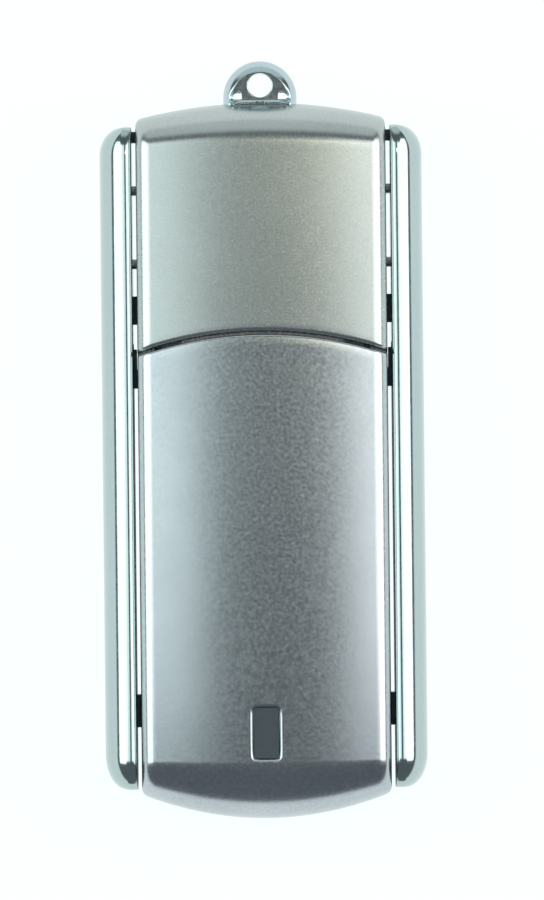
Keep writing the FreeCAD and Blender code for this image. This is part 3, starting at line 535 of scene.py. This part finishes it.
# For each slot: name, the two colours, metallic, range of roughness, scale of the grain and its bump
FINISHES = {
    # Body and cap are one satin finish: the body's cooler, bluer tint and the cap's warmer, greener tint are
    # painted reflection tints.
    "body_satin": ("satin_painted_cool_reflection", (0.42, 0.455, 0.49), (0.56, 0.603, 0.64), 1, (0.19, 0.25), 4000, 0.06),
    "cap_satin": ("satin_painted_warm_reflection", (0.42, 0.455, 0.455), (0.515, 0.555, 0.555), 1, (0.24, 0.28), 5000, 0.028),
    "rail_polish": ("polished_rail", (0.44, 0.53, 0.53), (0.48, 0.575, 0.57), 1, (0.11, 0.15), 2500, 0.04),
    "lug_polish": ("polished_lug", (0.47, 0.56, 0.60), (0.52, 0.61, 0.65), 1, (0.13, 0.17), 2500, 0.03),
    # Guide shoes and channel linings: dark plastic whose dark bluish charcoal also carries painted shade of
    # the narrow gaps and grooves beside the rails.
    "shoe_plastic": ("shoe_dark_plastic_painted_shade", (0.09, 0.11, 0.13), (0.13, 0.155, 0.18), 0, (0.45, 0.6), 6000, 0.3),
    "channel_plastic": ("channel_dark_plastic_painted_shade", (0.09, 0.11, 0.13), (0.13, 0.155, 0.18), 0, (0.45, 0.6), 6000, 0.3),
    "pin_steel": ("pin_steel", (0.35, 0.37, 0.38), (0.45, 0.47, 0.48), 1, (0.2, 0.3), 5000, 0.2),
    "spring_steel": ("spring_steel", (0.50, 0.50, 0.49), (0.60, 0.60, 0.59), 1, (0.2, 0.3), 5000, 0.2),
    "liner_plastic": ("black_liner", (0.018, 0.018, 0.02), (0.035, 0.035, 0.038), 0, (0.4, 0.55), 5000, 0.3),
    "window_smoke": ("smoked_window", (0.054, 0.068, 0.083),
                     (0.062, 0.077, 0.094), 0, (0.3, 0.38), 4000, 0.1),
    "frame_plastic": ("black_frame", (0.02, 0.02, 0.022), (0.04, 0.04, 0.044), 0, (0.4, 0.55), 5000, 0.3),
    "board_green": ("solder_mask", (0.01, 0.09, 0.035), (0.02, 0.14, 0.055), 0, (0.25, 0.35), 3000, 0.2),
    "chip_epoxy": ("chip_epoxy", (0.012, 0.012, 0.014), (0.03, 0.03, 0.033), 0, (0.45, 0.6), 9000, 0.4),
    "component_tin": ("tin_can", (0.55, 0.56, 0.57), (0.66, 0.67, 0.68), 1, (0.25, 0.35), 4000, 0.2),
    "capacitor_ceramic": ("ceramic", (0.38, 0.26, 0.17), (0.48, 0.35, 0.24), 0, (0.35, 0.5), 6000, 0.2),
    "resistor_film": ("film", (0.015, 0.015, 0.02), (0.03, 0.03, 0.035), 0, (0.3, 0.4), 6000, 0.2),
    "led_lens": ("led_lens", (0.70, 0.76, 0.80), (0.82, 0.88, 0.90), 0, (0.15, 0.25), 5000, 0.1),
    "plug_steel": ("plug_nickel", (0.58, 0.58, 0.57), (0.68, 0.68, 0.67), 1, (0.18, 0.28), 5000, 0.15),
    "tongue_plastic": ("white_tongue", (0.74, 0.74, 0.72), (0.84, 0.84, 0.82), 0, (0.35, 0.45), 5000, 0.2),
    "contact_gold": ("gold_contact", (0.80, 0.58, 0.24), (0.92, 0.70, 0.33), 1, (0.15, 0.25), 5000, 0.1),
}
MATERIALS = {slot: surface(*finish) for slot, finish in FINISHES.items()}
NODE_SLOTS = {row["node"]: row["material_slot"] for row in frame["record"]["subparts"]}


def dress_cad_nodes():
    for node, piece in frame["nodes"].items():
        piece.data.materials.clear()
        piece.data.materials.append(MATERIALS[NODE_SLOTS[node]])


# ---- Pieces ----------------------------------------------------------------------------------------

LUG_RADIUS = 2.74
LUG_HALF = 1.2                 # half of the lug's thickness
LUG_HOLE = 0.9
LUG_HOLE_ABOVE = 1.26          # hole centre beyond the cap's crest
LUG_SIDE_RIM, LUG_TOP_RIM = 0.50, 1.0
LUG_START = math.radians(30)   # tilt at which the rim leaves the flat of the lug
LUG_ROOT = 3.3                 # how far the lug reaches into the cap
LUG_LIP = 0.05                 # rounding round the hole
LUG_FILLET, LUG_STEEP = 0.26, 0.95  # radius of the fillet at the foot, and how near to upright it gets
LUG_SEAT = 0.32                # slope of the two seats at the foot
LUG_SPOT = (1.75, 0.38, 0.40)  # place and radius of those seats
SEAT_EDGE, SEAT_SOFT = 1.25, 0.5  # where a seat ends and how softly, as shares of its radius
LUG_SPOKES = 192
RIM_SHARES, HOLE_SHARES = 24, 34  # rings near the rim, and from there to the hole
RIM_SPAN = 0.52


def lug_reach(direction, hole_y, dome, foot):
    """Distance from the hole's centre to the lug's outline in one direction."""
    dx, dy = direction
    leg = LUG_RADIUS / abs(dx) if abs(dx) > 1e-9 else math.inf
    base = (foot - hole_y) / dy if dy < -1e-9 else math.inf
    across = dy * (hole_y - dome)
    arch = -across + math.sqrt(across ** 2 - (hole_y - dome) ** 2 + LUG_RADIUS ** 2)
    return arch if hole_y + arch * dy >= dome else min(leg, base)


def make_lug():
    """The lanyard loop: a flat-topped arch with a round rim, flaring into the cap at its foot."""
    dome = LUG_HIGH[1] - LUG_RADIUS
    foot = CREST - LUG_ROOT
    hole_y = CREST + LUG_HOLE_ABOVE
    turn = np.linspace(0, 2 * math.pi, LUG_SPOKES, endpoint=False)
    direction = np.stack([np.cos(turn), np.sin(turn)], axis=1)
    reach = np.array([lug_reach(way, hole_y, dome, foot) for way in direction])
    rings = []
    near_rim = 1 - np.cos(np.linspace(0, math.pi / 3, RIM_SHARES))
    for share in np.concatenate([near_rim, np.linspace(RIM_SPAN, 1, HOLE_SHARES)]):
        span = LUG_HOLE + (reach - LUG_HOLE) * (1 - share)
        x = direction[:, 0] * span
        y = hole_y + direction[:, 1] * span
        gap = LUG_RADIUS - np.where(y > dome, np.hypot(x, y - dome), np.abs(x))
        up = np.clip((y - dome) / LUG_RADIUS, 0, 1)
        rim = LUG_SIDE_RIM + (LUG_TOP_RIM - LUG_SIDE_RIM) * up
        grow = 1 - np.clip(gap / rim, 0, 1)
        lean = np.sin(LUG_START) + grow * (1 - np.sin(LUG_START))
        drop = (math.cos(LUG_START) - np.sqrt(1 - lean ** 2)) / math.cos(LUG_START)
        hole_gap = np.clip((np.hypot(x, y - hole_y) - LUG_HOLE) / LUG_LIP, 0, 1)
        lip = LUG_LIP * (1 - np.sqrt(1 - (1 - hole_gap) ** 2))
        near = np.clip((CREST + LUG_FILLET - y) / LUG_FILLET, 0, 1)
        fillet = LUG_FILLET * (1 - np.sqrt(1 - np.minimum(near, LUG_STEEP) ** 2))
        spot_gap = np.hypot(np.abs(x) - LUG_SPOT[0], y - CREST - LUG_SPOT[1]) / LUG_SPOT[2]
        inward = np.abs(x) - LUG_SPOT[0] + LUG_SPOT[2]
        seat = smoothstep((SEAT_EDGE - spot_gap) / SEAT_SOFT) * LUG_SEAT * inward
        height = (LUG_HALF - lip + fillet - np.maximum(seat, 0)) * (1 - drop)
        rings.append(np.stack([x, y, height], axis=1))
    rings = np.stack(rings)
    rings = np.concatenate([rings, rings[:, :1]], axis=1)
    upper, lower = rings.copy(), rings.copy()
    upper[..., 2] = MID + rings[..., 2]
    lower[..., 2] = MID - rings[..., 2]
    quads = Quads()
    quads.patch(upper)
    quads.patch(lower)
    quads.between(upper[-1], lower[-1])
    quads.between(upper[0], lower[0])
    return quads.build("lanyard_loop", 50)


def make_pieces():
    satin_body, satin_cap = MATERIALS["body_satin"], MATERIALS["cap_satin"]
    for node, side in (("front_cover", 1), ("back_cover", -1)):
        piece = make_cover("shaped_" + node, side)
        finish_piece(piece, node, satin_body, "memory_body")
    for node, side in (("cap_front_shell", 1), ("cap_back_shell", -1)):
        piece = make_cap_shell("shaped_" + node, side)
        finish_piece(piece, node, satin_cap, "cap_frame")
    for node, hand in (("right_rail", 1), ("left_rail", -1)):
        rail = make_rail("polished_" + node, hand)
        finish_piece(rail, node, MATERIALS["rail_polish"], "cap_frame")
        lining = make_channel("lining_" + node, hand)
        channel = node.replace("rail", "channel")
        finish_piece(lining, channel, MATERIALS["channel_plastic"], "cap_frame")
    finish_piece(make_lug(), "lanyard_lug", MATERIALS["lug_polish"], "cap_frame")


# ---- Studio ----------------------------------------------------------------------------------------

FLOOR_HALF = 1.5
FLOOR_DROP = 0.00002           # the floor lies just below the drive's back
FLOOR_GREY, FLOOR_GLOW, FLOOR_STRENGTH = (0.1, 0.1, 0.1, 1), (0.93, 1.0, 0.99, 1), 0.97


def make_floor():
    """A pale floor that glows, so that it stays white round the drive."""
    mesh = bpy.data.meshes.new("floor")
    size = FLOOR_HALF
    corners = [(-size, -size, 0), (size, -size, 0), (size, size, 0), (-size, size, 0)]
    mesh.from_pydata(corners, [], [(0, 1, 2, 3)])
    floor = bpy.data.objects.new("floor", mesh)
    floor.location.z = -FLOOR_DROP
    bpy.context.scene.collection.objects.link(floor)
    material, tree, shader = node_tree("pale_floor")
    shader.inputs["Base Color"].default_value = FLOOR_GREY
    shader.inputs["Roughness"].default_value = 0.8
    shader.inputs["Emission Color"].default_value = FLOOR_GLOW
    shader.inputs["Emission Strength"].default_value = FLOOR_STRENGTH
    shader.inputs["Specular IOR Level"].default_value = 0.1
    mesh.materials.append(material)


def make_panel(name, side, near, far, distance, depth, radiance, color):
    """A soft area light facing the drive, seen from it between two angles off the zenith (degrees)."""
    middle = math.radians((near + far) / 2) * side
    half = distance * math.tan(math.radians(far - near) / 2)
    light = bpy.data.lights.new(name, "AREA")
    light.shape = "RECTANGLE"
    light.size = 2 * half
    light.size_y = depth
    light.energy = radiance * math.pi * light.size * depth
    light.color = color
    panel = bpy.data.objects.new(name, light)
    panel.location = (distance * math.sin(middle), 0, distance * math.cos(middle))
    panel.rotation_euler = (0, middle, 0)
    panel.visible_camera = False
    bpy.context.scene.collection.objects.link(panel)
    return panel


CYAN, NEUTRAL = (0.88, 1, 0.97), (0.97, 1, 0.98)
PANEL_DISTANCE = 0.40
PANEL_SHIFT = 0.065            # the softboxes stand a little towards the lug
WARM = (1, 3, 13, 0.45, 0.035, 4.0, (1, 0.93, 0.62))
WARM_SHIFT = 0.085
# For each softbox: side, the two angles off the zenith, depth, radiance and colour
PANELS = {
    "left_near_softbox": (-1, 7, 22, 0.24, 1.45, CYAN),
    "left_middle_softbox": (-1, 22, 40, 0.24, 2.2, CYAN),
    "left_far_softbox": (-1, 40, 80, 0.30, 2.6, CYAN),
    "right_near_softbox": (1, 10, 22, 0.24, 1.7, NEUTRAL),
    "right_middle_softbox": (1, 22, 40, 0.24, 2.2, NEUTRAL),
    "right_far_softbox": (1, 40, 80, 0.30, 2.6, NEUTRAL),
}


def make_lights():
    """Cool softboxes on the left, neutral ones on the right and a small warm lamp over the cap."""
    for name, (side, near, far, depth, radiance, color) in PANELS.items():
        panel = make_panel(name, side, near, far, PANEL_DISTANCE, depth, radiance, color)
        panel.location.y = PANEL_SHIFT
    warm = make_panel("warm_lamp", *WARM)
    warm.location.y = WARM_SHIFT


# Brightness and blueness of the world from -Y (0) to +Y (1)
WORLD_STOPS = ((0.0, 0.165, 1.12), (0.40, 0.15, 1.10), (0.5, 0.10, 1.06), (0.6, 0.14, 1.0),
               (0.83, 0.16, 1.0), (0.89, 0.76, 0.99), (1.0, 0.80, 0.99))


def make_world():
    """Soft surroundings: dim towards -Y and overhead, and pale towards +Y near the horizon."""
    world = bpy.data.worlds.new("studio")
    world.use_nodes = True
    tree = world.node_tree
    background = tree.nodes["Background"]
    direction = tree.nodes.new("ShaderNodeTexCoord").outputs["Generated"]
    split = tree.nodes.new("ShaderNodeSeparateXYZ")
    tree.links.new(direction, split.inputs["Vector"])
    ramp = tree.nodes.new("ShaderNodeValToRGB")
    tree.links.new(remap(tree, split.outputs["Y"], -1, 1, 0, 1), ramp.inputs["Fac"])
    elements = ramp.color_ramp.elements
    while len(elements) < len(WORLD_STOPS):
        elements.new(0.5)
    for element, (place, grey, blue) in zip(elements, WORLD_STOPS):
        element.position = place
        element.color = (grey * 0.90, grey, grey * blue, 1)
    tree.links.new(ramp.outputs["Color"], background.inputs["Color"])
    bpy.context.scene.world = world


SCALE_PX_PER_MM = 13.42
VIEW_HEIGHT = 900 / SCALE_PX_PER_MM * MM
CAMERA_DISTANCE = 0.6
CAMERA_SHIFT = (0.63, -0.78)   # the drive sits a little left of and above the middle of the picture
CAMERA_ROLL = 0.6


def make_camera():
    camera = bpy.data.cameras.new("camera")
    camera.sensor_fit = "VERTICAL"
    camera.sensor_height = 24
    camera.lens = 24 * CAMERA_DISTANCE / VIEW_HEIGHT
    camera.clip_start = 0.01
    item = bpy.data.objects.new("camera", camera)
    roll = math.radians(CAMERA_ROLL)
    item.location = (CAMERA_SHIFT[0] * MM, CAMERA_SHIFT[1] * MM, CAMERA_DISTANCE + MID * MM)
    item.rotation_euler = (0, 0, -roll)
    bpy.context.scene.collection.objects.link(item)
    bpy.context.scene.camera = item


make_camera()
make_floor()
make_lights()
make_world()
dress_cad_nodes()
make_pieces()
bpy.context.scene.view_settings.view_transform = "Standard"
